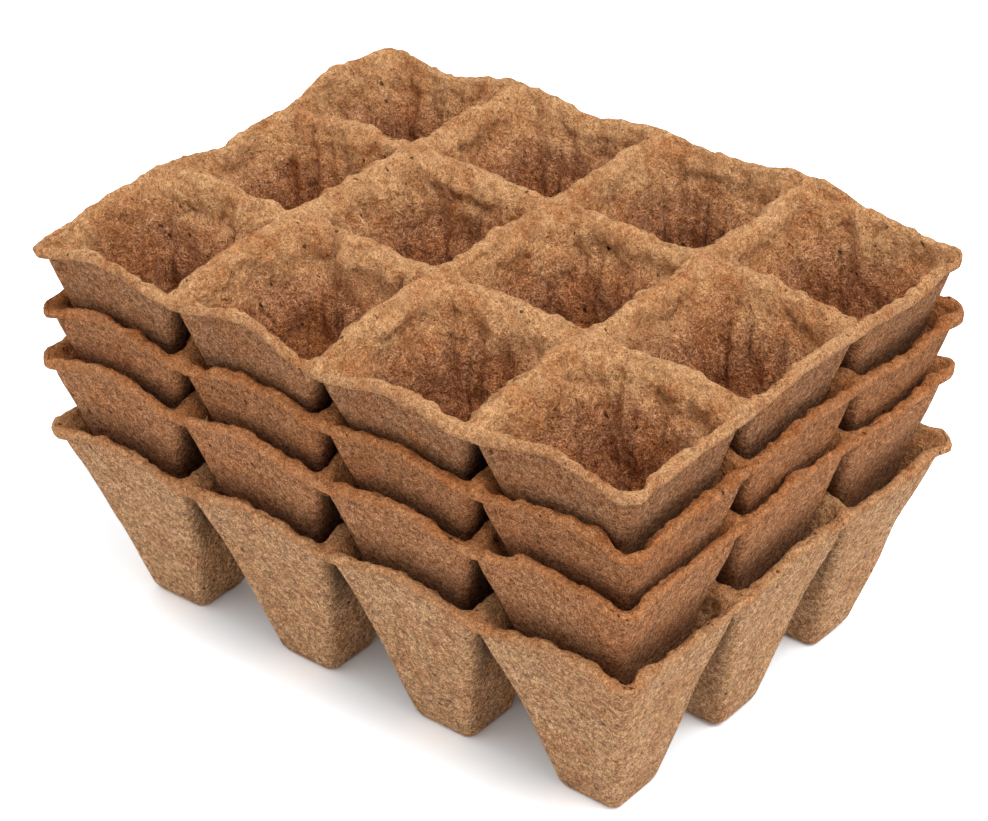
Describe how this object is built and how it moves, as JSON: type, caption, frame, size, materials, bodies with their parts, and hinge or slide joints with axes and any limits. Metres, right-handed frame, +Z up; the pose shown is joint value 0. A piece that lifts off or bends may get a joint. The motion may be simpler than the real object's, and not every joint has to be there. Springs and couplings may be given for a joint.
{
  "type": "peat pot tray stack",
  "caption": "Nested stack of moulded peat-fibre seedling trays with tapered square pots; each tray lifts off upwards.",
  "frame": {"origin": "on the ground, under the middle of the stack's bounding box", "axes": "+Z up, +X along the trays' longer side (four pots), +Y along the shorter side (three pots)"},
  "size_m": [0.2264, 0.1714, 0.1326],
  "materials": {
    "tray_1_fibre": "matt, rough moulded peat fibre",
    "tray_2_fibre": "matt, rough moulded peat fibre",
    "tray_3_fibre": "matt, rough moulded peat fibre",
    "tray_4_fibre": "matt, rough moulded peat fibre"
  },
  "bodies": {
    "lowest_tray": {"tray_1": "tray_1_fibre"},
    "second_tray": {"tray_2": "tray_2_fibre"},
    "third_tray": {"tray_3": "tray_3_fibre"},
    "top_tray": {"tray_4": "tray_4_fibre"}
  },
  "joints": [
    {"name": "second_tray_lift", "type": "slide", "parent": "lowest_tray", "child": "second_tray", "axis": [0, 0, 1], "range_m": [0, 0.07]},
    {"name": "third_tray_lift", "type": "slide", "parent": "second_tray", "child": "third_tray", "axis": [0, 0, 1], "range_m": [0, 0.07]},
    {"name": "top_tray_lift", "type": "slide", "parent": "third_tray", "child": "top_tray", "axis": [0, 0, 1], "range_m": [0, 0.07]}
  ]
}
